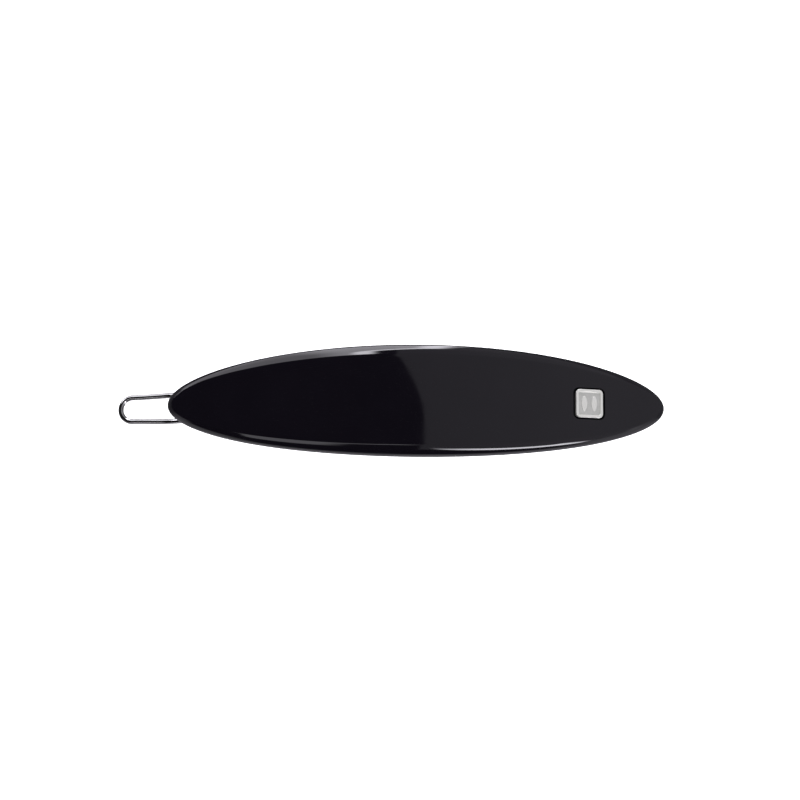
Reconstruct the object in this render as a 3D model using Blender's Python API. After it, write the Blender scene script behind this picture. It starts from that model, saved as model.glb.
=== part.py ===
"""An arched lens barrette with a wire-and-ball clasp.

The crown frame has its origin on top of the arch, +X along the length to the hinge end, +Y across and +Z
outwards. The rest frame carries it the way the closed barrette lies down, on the wire's end and on the tip
beyond the hinge. Its origin is the middle of the gap that holds the hair.
"""

import math

import bmesh
import bpy
from mathutils import Matrix, Vector

MM = 0.001

# The acetate lens: an ellipse bent round a cylinder that lies across it.
ARCH_RADIUS = 125.0 * MM
HALF_LENGTH = 50.63 * MM
HALF_WIDTH = 11.2 * MM
THICKNESS = 3.8 * MM
TIP_INSET_SHARE = 0.65
LENS_SEGMENTS = 96
# From the flat face over the bevel and round the side to the underside: inset from the outline, and depth.
RIM_PROFILE = (
    (2.05 * MM, 0.22 * MM),
    (1.85 * MM, 0.29 * MM),
    (1.62 * MM, 0.41 * MM),
    (0.30 * MM, 1.18 * MM),
    (0.08 * MM, 1.36 * MM),
    (0.00 * MM, 1.62 * MM),
    (0.00 * MM, 3.30 * MM),
    (0.12 * MM, 3.62 * MM),
    (0.45 * MM, 3.80 * MM),
)
CROWN_RINGS = 7
UNDERSIDE_RINGS = 6

# The plaque and the recess that it is pressed into.
PLAQUE_X = 34.2 * MM
PLAQUE_SIDE = 5.85 * MM
PLAQUE_CORNER = 0.75 * MM
PLAQUE_PROUD = 0.12 * MM
PLAQUE_DEPTH = 0.78 * MM
PLAQUE_RIM = 0.5 * MM
PLAQUE_FIELD_DROP = 0.22 * MM
PLAQUE_FIELD_CORNER = 0.45 * MM
RELIEF_HEIGHT = 0.13 * MM
RELIEF_SPACING = 2.1 * MM
LEAF_LENGTH = 3.3 * MM
LEAF_WIDTH = 1.3 * MM
RECESS_GAP = 0.12 * MM
PEG_SPACING = 3.2 * MM
PEG_RADIUS = 0.42 * MM
PEG_LENGTH = 1.3 * MM

# Gaps between pieces that touch on the real barrette.
FACE_GAP = 0.05 * MM
HOLE_GAP = 0.07 * MM
# How far a cutter reaches out past the face that it cuts.
OVERCUT = 1.0 * MM

# The hinge: a bracket with two ears under the lens.
HINGE_X = 36.0 * MM
HINGE_DROP = 1.5 * MM
SEAT_DEPTH = 0.1 * MM
SEAT_CORNER = 0.7 * MM
BASE_LENGTH = 8.8 * MM
BASE_HALF_WIDTH = 3.7 * MM
BASE_CORNER = 0.9 * MM
SHEET = 0.5 * MM
EAR_INSIDE = 3.3 * MM
EAR_SHEET = 0.55 * MM
EAR_HALF_LENGTH = 1.9 * MM
EAR_ROUND = 1.25 * MM
EAR_ROOT = 0.7 * MM
PIVOT_HOLE_RADIUS = 0.65 * MM
RIVET_OFFSET = 3.2 * MM

# The rivets.
RIVET_RADIUS = 0.45 * MM
RIVET_HEAD_RADIUS = 0.85 * MM
RIVET_HEAD_HEIGHT = 0.36 * MM
RIVET_HEAD_EDGE = 0.08 * MM
RIVET_LENGTH = 2.5 * MM

# The ball stud and its plate.
STUD_X = -38.0 * MM
PLATE_LENGTH = 9.6 * MM
PLATE_WIDTH = 3.6 * MM
PLATE_CORNER = 1.78 * MM
BALL_RADIUS = 2.0 * MM
BALL_DROP = 3.0 * MM
BALL_FLAT_RADIUS = 0.55 * MM
NECK_RADIUS = 0.95 * MM
SHANK_RADIUS = 0.7 * MM
TAIL_RADIUS = 1.1 * MM
TAIL_HEIGHT = 0.4 * MM

# The wire loop, one strand from the hinge to the start of the round end, in the crown frame.
WIRE_RADIUS = 0.55 * MM
WIRE_END_Y = 4.25 * MM
CORNER_RADIUS = 0.8 * MM
STRAND = (
    (18.0 * MM, 2.80 * MM, -10.20 * MM),
    (0.0 * MM, 2.80 * MM, -10.00 * MM),
    (-19.0 * MM, 2.75 * MM, -10.10 * MM),
    (-30.0 * MM, 2.70 * MM, -10.35 * MM),
    (-37.65 * MM, 2.67 * MM, -10.95 * MM),
    (-43.5 * MM, 2.64 * MM, -13.20 * MM),
    (-50.0 * MM, 2.62 * MM, -17.00 * MM),
    (-57.0 * MM, 2.42 * MM, -19.04 * MM),
)
STRAND_START_Y = 2.75 * MM
TAB_SLOPE = math.radians(17.0)
STRAND_STEPS = 3
ROUND_STEPS = 12
CORNER_STEPS = 5

# How the closed barrette lies: its length leans by this much, with the wire's end and one tip on the ground.
REST_TILT = math.radians(3.32)
HAIR_GAP_Z = -6.62 * MM

# Sides of a turned or drilled shape, large and small.
ROUND = 32
SMALL_ROUND = 16


def clear_scene():
    for thing in list(bpy.data.objects):
        bpy.data.objects.remove(thing)


def material(name, colour, roughness, metallic=0.0):
    made = bpy.data.materials.new(name)
    made.use_nodes = True
    shader = made.node_tree.nodes["Principled BSDF"]
    shader.inputs["Base Color"].default_value = (*colour, 1.0)
    shader.inputs["Roughness"].default_value = roughness
    shader.inputs["Metallic"].default_value = metallic
    return made


def empty(name, location, angle, parent=None):
    """A frame that its pieces are placed in, turned about Y."""
    made = bpy.data.objects.new(name, None)
    bpy.context.scene.collection.objects.link(made)
    made.location = location
    made.rotation_euler = (0.0, angle, 0.0)
    made.parent = parent
    return made


def mesh_object(name, bm, parent, finish=None, crease=35.0):
    """The mesh as an object in its parent's frame, with its faces turned outwards."""
    bmesh.ops.recalc_face_normals(bm, faces=bm.faces)
    mesh = bpy.data.meshes.new(name)
    bm.to_mesh(mesh)
    bm.free()
    mesh.shade_smooth()
    mesh.set_sharp_from_angle(angle=math.radians(crease))
    made = bpy.data.objects.new(name, mesh)
    bpy.context.scene.collection.objects.link(made)
    made.parent = parent
    if finish:
        mesh.materials.append(finish)
    return made


def cutter(name, bm, parent):
    made = mesh_object(name, bm, parent)
    made.hide_render = True
    made.display_type = "WIRE"
    return made


def boolean(target, tool, operation="DIFFERENCE"):
    step = target.modifiers.new(tool.name, "BOOLEAN")
    step.operation = operation
    step.solver = "EXACT"
    step.object = tool


def add_prism(bm, outline, low, high, frame=None):
    """An outline in X and Y, pulled up from low to high."""
    frame = frame or Matrix.Identity(4)
    bottom = [bm.verts.new(frame @ Vector((x, y, low))) for x, y in outline]
    top = [bm.verts.new(frame @ Vector((x, y, high))) for x, y in outline]
    bm.faces.new(bottom)
    bm.faces.new(top)
    for i in range(len(outline)):
        j = (i + 1) % len(outline)
        bm.faces.new((bottom[i], bottom[j], top[j], top[i]))


def rounded_box(half_x, half_y, corner, steps=4):
    """The outline of a rectangle with round corners."""
    points = []
    for quarter, (sx, sy) in enumerate(((1, 1), (-1, 1), (-1, -1), (1, -1))):
        centre = (sx * (half_x - corner), sy * (half_y - corner))
        for step in range(steps + 1):
            turn = math.radians(90.0 * (quarter + step / steps))
            points.append((centre[0] + corner * math.cos(turn), centre[1] + corner * math.sin(turn)))
    return points


def circle(radius, x=0.0, y=0.0, count=ROUND):
    turns = (2.0 * math.pi * i / count for i in range(count))
    return [(x + radius * math.cos(turn), y + radius * math.sin(turn)) for turn in turns]


def add_turned(bm, profile, count=ROUND):
    """A profile of radius and height, turned about Z. It starts and ends on the axis."""
    spin = [2.0 * math.pi * i / count for i in range(count)]
    first = bm.verts.new((0.0, 0.0, profile[0][1]))
    last = bm.verts.new((0.0, 0.0, profile[-1][1]))
    rings = [[bm.verts.new((r * math.cos(a), r * math.sin(a), z)) for a in spin] for r, z in profile[1:-1]]
    for i in range(count):
        j = (i + 1) % count
        bm.faces.new((first, rings[0][i], rings[0][j]))
        bm.faces.new((last, rings[-1][j], rings[-1][i]))
        for low, high in zip(rings, rings[1:]):
            bm.faces.new((low[i], high[i], high[j], low[j]))


def lens_ring(bm, half_length, half_width, depth):
    """An ellipse bent round the arch, at a depth below its top."""
    ring = []
    for i in range(LENS_SEGMENTS):
        turn = 2.0 * math.pi * i / LENS_SEGMENTS
        bend = math.asin(half_length * math.cos(turn) / ARCH_RADIUS)
        reach = ARCH_RADIUS - depth
        place = (reach * math.sin(bend), half_width * math.sin(turn), reach * math.cos(bend) - ARCH_RADIUS)
        ring.append(bm.verts.new(place))
    return ring


def lens_mesh():
    """The solid lens: crown, rim and underside, from the top pole to the bottom one."""
    bm = bmesh.new()
    rings = []
    edge_inset, edge_depth = RIM_PROFILE[0]
    under_inset, under_depth = RIM_PROFILE[-1]
    for i in range(1, CROWN_RINGS):
        share = i / CROWN_RINGS
        long = share * (HALF_LENGTH - TIP_INSET_SHARE * edge_inset)
        rings.append(lens_ring(bm, long, share * (HALF_WIDTH - edge_inset), edge_depth * share**2))
    for inset, depth in RIM_PROFILE:
        rings.append(lens_ring(bm, HALF_LENGTH - TIP_INSET_SHARE * inset, HALF_WIDTH - inset, depth))
    for i in range(UNDERSIDE_RINGS - 1, 0, -1):
        share = i / UNDERSIDE_RINGS
        long = share * (HALF_LENGTH - TIP_INSET_SHARE * under_inset)
        rings.append(lens_ring(bm, long, share * (HALF_WIDTH - under_inset), under_depth))
    top = bm.verts.new((0.0, 0.0, 0.0))
    bottom = bm.verts.new((0.0, 0.0, -under_depth))
    for i in range(LENS_SEGMENTS):
        j = (i + 1) % LENS_SEGMENTS
        bm.faces.new((top, rings[0][i], rings[0][j]))
        bm.faces.new((bottom, rings[-1][j], rings[-1][i]))
        for upper, lower in zip(rings, rings[1:]):
            bm.faces.new((upper[i], lower[i], lower[j], upper[j]))
    return bm


def arch_frame(name, x, radius, parent):
    """A frame on the arch at a radius, square to it, where the plane across is at x on that radius."""
    bend = math.asin(x / radius)
    place = (radius * math.sin(bend), 0.0, radius * math.cos(bend) - ARCH_RADIUS)
    return empty(name, place, bend, parent)


def leaf(x):
    """A pointed oval, longer across the barrette than along it, as two arcs."""
    steps = 8
    half = LEAF_LENGTH / 2.0
    sag = LEAF_WIDTH / 2.0
    radius = (half**2 + sag**2) / (2.0 * sag)
    points = []
    for side in (1, -1):
        for i in range(steps):
            y = side * half * (2.0 * i / steps - 1.0)
            bulge = math.sqrt(radius**2 - y**2) - (radius - sag)
            points.append((x + side * bulge, y))
    return points


def make_body(crown, plaque_seat, hinge_seat, stud_seat, finish):
    body = mesh_object("acetate_body", lens_mesh(), crown, finish, crease=24.0)
    recess = bmesh.new()
    half = PLAQUE_SIDE / 2.0 + RECESS_GAP
    add_prism(recess, rounded_box(half, half, PLAQUE_CORNER + RECESS_GAP), -PLAQUE_DEPTH - FACE_GAP, OVERCUT)
    boolean(body, cutter("plaque_recess", recess, plaque_seat))
    pegs = bmesh.new()
    for side in (-1, 1):
        hole = circle(PEG_RADIUS + HOLE_GAP, side * PEG_SPACING / 2.0, count=SMALL_ROUND)
        add_prism(pegs, hole, -PLAQUE_DEPTH - PEG_LENGTH - 2.0 * FACE_GAP, -PLAQUE_DEPTH / 2.0)
    boolean(body, cutter("peg_holes", pegs, plaque_seat))
    seat = bmesh.new()
    outline = rounded_box(BASE_LENGTH / 2.0 + HOLE_GAP, EAR_INSIDE + EAR_SHEET + HOLE_GAP, SEAT_CORNER)
    add_prism(seat, outline, -OVERCUT, SEAT_DEPTH)
    boolean(body, cutter("hinge_seat", seat, hinge_seat))
    plate = bmesh.new()
    outline = rounded_box(PLATE_LENGTH / 2.0 + HOLE_GAP, PLATE_WIDTH / 2.0 + HOLE_GAP, PLATE_WIDTH / 2.0)
    add_prism(plate, outline, -OVERCUT, SEAT_DEPTH)
    boolean(body, cutter("plate_seat", plate, stud_seat))
    for name, frame in (("hinge_rivet_holes", hinge_seat), ("stud_rivet_holes", stud_seat)):
        holes = bmesh.new()
        for side in (-1, 1):
            hole = circle(RIVET_RADIUS + HOLE_GAP, side * RIVET_OFFSET, count=SMALL_ROUND)
            add_prism(holes, hole, -OVERCUT, RIVET_LENGTH)
        if frame is stud_seat:
            add_prism(holes, circle(TAIL_RADIUS + HOLE_GAP), -OVERCUT, SEAT_DEPTH + TAIL_HEIGHT + FACE_GAP)
        boolean(body, cutter(name, holes, frame))
    return body


def make_plaque(seat, finish):
    """A small tray with a raised rim, two leaves in relief and two pegs below."""
    half = PLAQUE_SIDE / 2.0
    tray = bmesh.new()
    add_prism(tray, rounded_box(half, half, PLAQUE_CORNER), -PLAQUE_DEPTH, PLAQUE_PROUD)
    plaque = mesh_object("plaque", tray, seat, finish)
    field = bmesh.new()
    inner = half - PLAQUE_RIM
    field_z = PLAQUE_PROUD - PLAQUE_FIELD_DROP
    add_prism(field, rounded_box(inner, inner, PLAQUE_FIELD_CORNER), field_z, OVERCUT)
    boolean(plaque, cutter("plaque_field", field, seat))
    relief = bmesh.new()
    for side in (-1, 1):
        add_prism(relief, leaf(side * RELIEF_SPACING / 2.0), -PLAQUE_DEPTH / 2.0, field_z + RELIEF_HEIGHT)
        peg = circle(PEG_RADIUS, side * PEG_SPACING / 2.0, count=SMALL_ROUND)
        add_prism(relief, peg, -PLAQUE_DEPTH - PEG_LENGTH, -0.6 * PLAQUE_DEPTH)
    boolean(plaque, cutter("plaque_relief", relief, seat), "UNION")
    return plaque


def ear_outline():
    """An ear from the side, in X and depth below the seat: straight at the root, round about the pivot."""
    points = [(EAR_HALF_LENGTH, -EAR_ROOT / 2.0), (EAR_HALF_LENGTH, -EAR_ROOT)]
    for i in range(9):
        turn = math.radians(-15.0 - 150.0 * i / 8)
        points.append((EAR_ROUND * math.cos(turn), -HINGE_DROP + EAR_ROUND * math.sin(turn)))
    return points + [(-EAR_HALF_LENGTH, -EAR_ROOT), (-EAR_HALF_LENGTH, -EAR_ROOT / 2.0)]


def make_bracket(seat, finish):
    top = SEAT_DEPTH - FACE_GAP
    base = bmesh.new()
    add_prism(base, rounded_box(BASE_LENGTH / 2.0, BASE_HALF_WIDTH, BASE_CORNER), top - SHEET, top)
    bracket = mesh_object("hinge_bracket", base, seat, finish)
    upright = Matrix.Rotation(math.radians(90.0), 4, "X")
    ears = bmesh.new()
    for side in (-1, 1):
        near, far = sorted((-side * EAR_INSIDE, -side * (EAR_INSIDE + EAR_SHEET)))
        add_prism(ears, ear_outline(), near, far, upright)
    boolean(bracket, cutter("bracket_ears", ears, seat), "UNION")
    pivot = bmesh.new()
    reach = EAR_INSIDE + 2.0 * EAR_SHEET
    add_prism(pivot, circle(PIVOT_HOLE_RADIUS, 0.0, -HINGE_DROP), -reach, reach, upright)
    boolean(bracket, cutter("pivot_hole", pivot, seat))
    rivets = bmesh.new()
    for side in (-1, 1):
        hole = circle(RIVET_RADIUS + HOLE_GAP, side * RIVET_OFFSET, count=SMALL_ROUND)
        add_prism(rivets, hole, -OVERCUT, OVERCUT)
    boolean(bracket, cutter("bracket_rivet_holes", rivets, seat))
    return bracket


def make_stud_plate(seat, finish):
    top = SEAT_DEPTH - FACE_GAP
    sheet = bmesh.new()
    outline = rounded_box(PLATE_LENGTH / 2.0, PLATE_WIDTH / 2.0, PLATE_CORNER, steps=6)
    add_prism(sheet, outline, top - SHEET, top)
    plate = mesh_object("stud_plate", sheet, seat, finish)
    holes = bmesh.new()
    for side in (-1, 1):
        hole = circle(RIVET_RADIUS + HOLE_GAP, side * RIVET_OFFSET, count=SMALL_ROUND)
        add_prism(holes, hole, -OVERCUT, OVERCUT)
    add_prism(holes, circle(SHANK_RADIUS + HOLE_GAP), -OVERCUT, OVERCUT)
    boolean(plate, cutter("plate_holes", holes, seat))
    return plate


def make_rivet(name, seat, x, finish):
    """A drive rivet from below: domed head under the sheet, shank through it into the lens."""
    head_top = SEAT_DEPTH - FACE_GAP - SHEET - FACE_GAP
    tip = head_top + RIVET_LENGTH - SHEET
    dome = [
        (RIVET_HEAD_RADIUS * math.sin(a), head_top - RIVET_HEAD_HEIGHT * math.cos(a) ** 0.7)
        for a in (math.radians(15.0 * i) for i in range(1, 6))
    ]
    profile = [
        (0.0, head_top - RIVET_HEAD_HEIGHT),
        *dome,
        (RIVET_HEAD_RADIUS, head_top - RIVET_HEAD_EDGE),
        (RIVET_HEAD_RADIUS, head_top),
        (RIVET_RADIUS, head_top),
        (RIVET_RADIUS, tip - RIVET_RADIUS),
        (0.5 * RIVET_RADIUS, tip),
        (0.0, tip),
    ]
    bm = bmesh.new()
    add_turned(bm, profile, count=SMALL_ROUND)
    rivet = mesh_object(name, bm, seat, finish)
    rivet.location = (x, 0.0, 0.0)
    return rivet


def make_ball_stud(seat, finish):
    """The stud, turned in one: ball with a small flat end, neck, shank through the plate, peened tail."""
    plate_top = SEAT_DEPTH - FACE_GAP
    neck_top = plate_top - SHEET - FACE_GAP
    low = math.acos(BALL_FLAT_RADIUS / BALL_RADIUS)
    high = math.acos(NECK_RADIUS / BALL_RADIUS)
    count = 12
    arc = [-low + (low + high) * i / count for i in range(count + 1)]
    ball = [(BALL_RADIUS * math.cos(a), -BALL_DROP + BALL_RADIUS * math.sin(a)) for a in arc]
    tail_low = plate_top + FACE_GAP
    profile = [
        (0.0, ball[0][1]),
        *ball,
        (NECK_RADIUS, neck_top),
        (SHANK_RADIUS, neck_top),
        (SHANK_RADIUS, tail_low),
        (TAIL_RADIUS, tail_low),
        (0.8 * TAIL_RADIUS, tail_low + 0.7 * TAIL_HEIGHT),
        (0.0, tail_low + 0.85 * TAIL_HEIGHT),
    ]
    bm = bmesh.new()
    add_turned(bm, profile)
    return mesh_object("ball_stud", bm, seat, finish)


def smooth_curve(points, first_tangent, last_tangent, steps):
    """A cubic through the points with the given end directions, with steps points to each stretch."""
    count = len(points)
    spans = [(points[i + 1] - points[i]).length for i in range(count - 1)]
    tangents = [first_tangent.normalized()]
    for i in range(1, count - 1):
        before = (points[i] - points[i - 1]) / spans[i - 1]
        after = (points[i + 1] - points[i]) / spans[i]
        tangents.append((before * spans[i] + after * spans[i - 1]) / (spans[i - 1] + spans[i]))
    tangents.append(last_tangent.normalized())
    made = [points[0]]
    for i, span in enumerate(spans):
        for step in range(1, steps + 1):
            t = step / steps
            start = (2 * t**3 - 3 * t**2 + 1) * points[i] + (t**3 - 2 * t**2 + t) * span * tangents[i]
            end = (3 * t**2 - 2 * t**3) * points[i + 1] + (t**3 - t**2) * span * tangents[i + 1]
            made.append(start + end)
    return made


def half_wire(hinge):
    """Half the loop, from its bent end in the ear to the middle of the round end, relative to the hinge."""
    path = [Vector((0.0, WIRE_END_Y, 0.0))]
    corner = Vector((-CORNER_RADIUS, STRAND_START_Y + CORNER_RADIUS, 0.0))
    for i in range(CORNER_STEPS + 1):
        turn = math.radians(90.0 * i / CORNER_STEPS)
        path.append(corner + CORNER_RADIUS * Vector((math.cos(turn), -math.sin(turn), 0.0)))
    stations = [path[-1]] + [Vector(place) - hinge for place in STRAND]
    along = Vector((-math.cos(TAB_SLOPE), 0.0, -math.sin(TAB_SLOPE)))
    path += smooth_curve(stations, Vector((-1.0, 0.0, 0.0)), along, STRAND_STEPS)[1:]
    end_radius = STRAND[-1][1]
    centre = stations[-1] - Vector((0.0, end_radius, 0.0))
    for i in range(1, ROUND_STEPS // 2 + 1):
        turn = math.pi * i / ROUND_STEPS
        path.append(centre + end_radius * (math.sin(turn) * along + math.cos(turn) * Vector((0.0, 1.0, 0.0))))
    return path


def make_wire(hinge_frame, finish):
    near = half_wire(hinge_frame.location)
    far = [Vector((p.x, -p.y, p.z)) for p in reversed(near[:-1])]
    curve = bpy.data.curves.new("wire_loop", "CURVE")
    curve.dimensions = "3D"
    curve.bevel_depth = WIRE_RADIUS
    curve.bevel_resolution = 3
    curve.use_fill_caps = True
    spline = curve.splines.new("POLY")
    spline.points.add(len(near + far) - 1)
    for point, place in zip(spline.points, near + far):
        point.co = (*place, 1.0)
    curve.materials.append(finish)
    wire = bpy.data.objects.new("wire_loop", curve)
    bpy.context.scene.collection.objects.link(wire)
    wire.parent = hinge_frame
    return wire


def main():
    clear_scene()
    acetate = material("black_acetate", (0.004, 0.0035, 0.005), 0.06)
    silver = material("satin_silver", (0.62, 0.61, 0.58), 0.32, 1.0)
    nickel = material("nickel_plate", (0.55, 0.54, 0.52), 0.25, 1.0)
    spring_steel = material("spring_steel", (0.46, 0.46, 0.47), 0.2, 1.0)

    lean = Matrix.Rotation(REST_TILT, 4, "Y")
    crown = empty("crown_frame", -(lean @ Vector((0.0, 0.0, HAIR_GAP_Z))), REST_TILT)
    under = ARCH_RADIUS - THICKNESS
    plaque_seat = arch_frame("plaque_frame", PLAQUE_X, ARCH_RADIUS, crown)
    hinge_seat = arch_frame("hinge_frame", HINGE_X, under, crown)
    stud_seat = arch_frame("stud_frame", STUD_X, under, crown)
    hinge_bend = math.asin(HINGE_X / under)
    pivot = Vector((math.sin(hinge_bend), 0.0, math.cos(hinge_bend))) * (under - HINGE_DROP)
    wire_hinge = empty("wire_hinge", pivot - Vector((0.0, 0.0, ARCH_RADIUS)), 0.0, crown)

    make_body(crown, plaque_seat, hinge_seat, stud_seat, acetate)
    make_plaque(plaque_seat, silver)
    make_bracket(hinge_seat, nickel)
    make_stud_plate(stud_seat, nickel)
    make_ball_stud(stud_seat, nickel)
    make_rivet("hinge_rivet_inner", hinge_seat, -RIVET_OFFSET, nickel)
    make_rivet("hinge_rivet_outer", hinge_seat, RIVET_OFFSET, nickel)
    make_rivet("stud_rivet_inner", stud_seat, RIVET_OFFSET, nickel)
    make_rivet("stud_rivet_outer", stud_seat, -RIVET_OFFSET, nickel)
    make_wire(wire_hinge, spring_steel)


main()
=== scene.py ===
"""The barrette's looks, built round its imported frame: polished black acetate, a satin silver plaque, nickel
plated fittings and a drawn spring wire, above a pale light table."""

import math

import bmesh
import bpy
import numpy as np
from mathutils import Matrix, Vector
from mathutils.bvhtree import BVHTree


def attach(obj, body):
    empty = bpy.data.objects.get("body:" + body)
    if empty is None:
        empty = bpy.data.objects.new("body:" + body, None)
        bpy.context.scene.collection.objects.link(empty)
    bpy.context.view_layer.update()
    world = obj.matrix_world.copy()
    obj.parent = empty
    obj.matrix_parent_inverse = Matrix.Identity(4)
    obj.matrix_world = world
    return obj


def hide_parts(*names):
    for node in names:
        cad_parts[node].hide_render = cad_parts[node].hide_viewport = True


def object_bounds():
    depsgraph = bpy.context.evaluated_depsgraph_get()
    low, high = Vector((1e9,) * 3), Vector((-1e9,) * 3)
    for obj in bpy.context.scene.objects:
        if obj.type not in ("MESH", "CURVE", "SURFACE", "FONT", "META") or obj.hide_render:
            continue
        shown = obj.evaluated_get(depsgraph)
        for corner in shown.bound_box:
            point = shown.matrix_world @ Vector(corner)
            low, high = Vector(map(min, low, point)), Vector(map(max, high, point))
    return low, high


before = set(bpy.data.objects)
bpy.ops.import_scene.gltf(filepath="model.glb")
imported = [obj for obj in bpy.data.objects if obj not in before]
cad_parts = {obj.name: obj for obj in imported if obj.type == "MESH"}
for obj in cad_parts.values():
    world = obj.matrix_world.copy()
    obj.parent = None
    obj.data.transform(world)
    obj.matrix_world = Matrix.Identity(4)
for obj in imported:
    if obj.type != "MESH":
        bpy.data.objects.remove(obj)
CAD_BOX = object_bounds()

MM = 0.001
CLIP, WIRE = "clip_body", "wire"

# The frame's own sizes, which the fine surfaces follow. The plaque, the gap round it and the inner faces of
# the bracket's ears are up to half a millimetre off the frame's.
ARCH_RADIUS = 125.0 * MM
HALF_LENGTH = 50.63 * MM
HALF_WIDTH = 11.2 * MM
THICKNESS = 3.8 * MM
CROWN_RISE = 0.22 * MM
TIP_INSET_SHARE = 0.65
PLAQUE_X = 34.2 * MM
PLAQUE_SIDE = 5.7 * MM
PLAQUE_CORNER = 0.85 * MM
PLAQUE_PROUD = 0.12 * MM
PLAQUE_DEPTH = 0.78 * MM
PLAQUE_RIM = 0.5 * MM
PLAQUE_FIELD_DROP = 0.22 * MM
PLAQUE_EDGE = 0.07 * MM
FIELD_WALL = 0.12 * MM
SHARPEST_CORNER = 0.02 * MM
RELIEF_HEIGHT = 0.13 * MM
RELIEF_SPACING = 2.1 * MM
LEAF_LENGTH = 3.3 * MM
LEAF_WIDTH = 1.3 * MM
LEAF_STEP = 0.72
RIB_WIDTH = 0.13
RIB_DEPTH = 0.45
VEIN_PITCH = 0.42 * MM
VEIN_LEAN = 0.45
VEIN_WIDTH = 0.13
VEIN_DEPTH = 0.22
RECESS_GAP_LONG = 0.56 * MM
RECESS_GAP_WIDE = 0.34 * MM
# Recess faces deeper than this under the plaque's seat get the painted black shade.
RECESS_SHADE_TOP = 0.25 * MM
PEG_SPACING = 3.2 * MM
PEG_RADIUS = 0.42 * MM
PEG_LENGTH = 1.3 * MM
FACE_GAP = 0.05 * MM
HOLE_GAP = 0.07 * MM
OVERCUT = 1.0 * MM
NEAR = 0.02 * MM
HINGE_X = 36.0 * MM
HINGE_DROP = 1.5 * MM
SEAT_DEPTH = 0.1 * MM
SEAT_CORNER = 0.7 * MM
BASE_LENGTH = 8.8 * MM
BASE_HALF_WIDTH = 3.7 * MM
BASE_CORNER = 0.9 * MM
SHEET = 0.5 * MM
EAR_INSIDE = 3.34 * MM
EAR_SHEET = 0.51 * MM
EAR_HALF_LENGTH = 1.9 * MM
EAR_ROUND = 1.25 * MM
EAR_ROOT = 0.7 * MM
EAR_BEND = 0.75 * MM
EAR_UNDERLAP = 1.2 * MM
PIVOT_HOLE_RADIUS = 0.65 * MM
RIVET_OFFSET = 3.2 * MM
RIVET_RADIUS = 0.45 * MM
RIVET_HEAD_RADIUS = 0.85 * MM
RIVET_HEAD_HEIGHT = 0.36 * MM
RIVET_LENGTH = 2.5 * MM
STUD_X = -38.0 * MM
PLATE_LENGTH = 9.6 * MM
PLATE_WIDTH = 3.6 * MM
BALL_RADIUS = 2.0 * MM
BALL_DROP = 3.0 * MM
BALL_FLAT_RADIUS = 0.55 * MM
NECK_RADIUS = 0.95 * MM
SHANK_RADIUS = 0.7 * MM
TAIL_RADIUS = 1.1 * MM
TAIL_HEIGHT = 0.4 * MM
WIRE_RADIUS = 0.55 * MM
WIRE_END_Y = 4.25 * MM
CORNER_RADIUS = 0.8 * MM
WIRE_END_ROUND = 0.12 * MM
STRAND = (
    (18.0 * MM, 2.80 * MM, -10.20 * MM),
    (0.0 * MM, 2.80 * MM, -10.00 * MM),
    (-19.0 * MM, 2.75 * MM, -10.10 * MM),
    (-30.0 * MM, 2.70 * MM, -10.35 * MM),
    (-37.65 * MM, 2.67 * MM, -10.95 * MM),
    (-43.5 * MM, 2.64 * MM, -13.20 * MM),
    (-50.0 * MM, 2.62 * MM, -17.00 * MM),
    (-56.98 * MM, 2.42 * MM, -19.04 * MM),
)
STRAND_START_Y = 2.75 * MM
TAB_SLOPE = math.radians(17.0)
REST_TILT = math.radians(3.32)
HAIR_GAP_Z = -6.62 * MM

# The section of the lens's edge from crown to underside: inset, depth and rounding of each corner.
LENS_CORNERS = (
    (2.05 * MM, 0.22 * MM, 0.9 * MM),
    (1.02 * MM, 0.655 * MM, 4.0 * MM),
    (0.0 * MM, 1.355 * MM, 1.1 * MM),
    (0.0 * MM, 3.78 * MM, 0.5 * MM),
)
LENS_SEGMENTS = 320
CROWN_RINGS = 32
UNDERSIDE_RINGS = 14
# Shares of the way out for the first rings, close together so that the crown's middle stays smooth.
MIDDLE_SHARES = (0.004, 0.012, 0.025, 0.045)

# The table's distance below the barrette.
TABLE_DROP = 100.0 * MM

# The camera, in metres and degrees.
CAMERA_TARGET = Vector((-3.62 * MM, 1.47 * MM, -5.5 * MM))
CAMERA_DISTANCE = 0.8936
CAMERA_TILT = 7.8
CAMERA_ROLL = -0.03
CAMERA_LENS = 200.0


# ---------------------------------------------------------------- places

LEAN = Matrix.Rotation(REST_TILT, 4, "Y")
CROWN = LEAN @ Matrix.Translation((0.0, 0.0, -HAIR_GAP_Z))


def arch_place(x, radius):
    """A frame square to the arch at a radius, where the plane across is at x on that radius."""
    bend = math.asin(x / radius)
    place = Vector((radius * math.sin(bend), 0.0, radius * math.cos(bend) - ARCH_RADIUS))
    return CROWN @ Matrix.Translation(place) @ Matrix.Rotation(bend, 4, "Y")


UNDER_RADIUS = ARCH_RADIUS - THICKNESS
PLAQUE_SEAT = arch_place(PLAQUE_X, ARCH_RADIUS)
HINGE_SEAT = arch_place(HINGE_X, UNDER_RADIUS)
STUD_SEAT = arch_place(STUD_X, UNDER_RADIUS)
HINGE_PLACE = CROWN.inverted() @ HINGE_SEAT @ Vector((0.0, 0.0, -HINGE_DROP))


# ---------------------------------------------------------------- meshes

def object_of(name, mesh, place, finishes):
    """An object with its mesh in the row frame."""
    mesh.transform(place)
    mesh.update()
    for finish in finishes:
        mesh.materials.append(finish)
    made = bpy.data.objects.new(name, mesh)
    bpy.context.scene.collection.objects.link(made)
    return made


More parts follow.
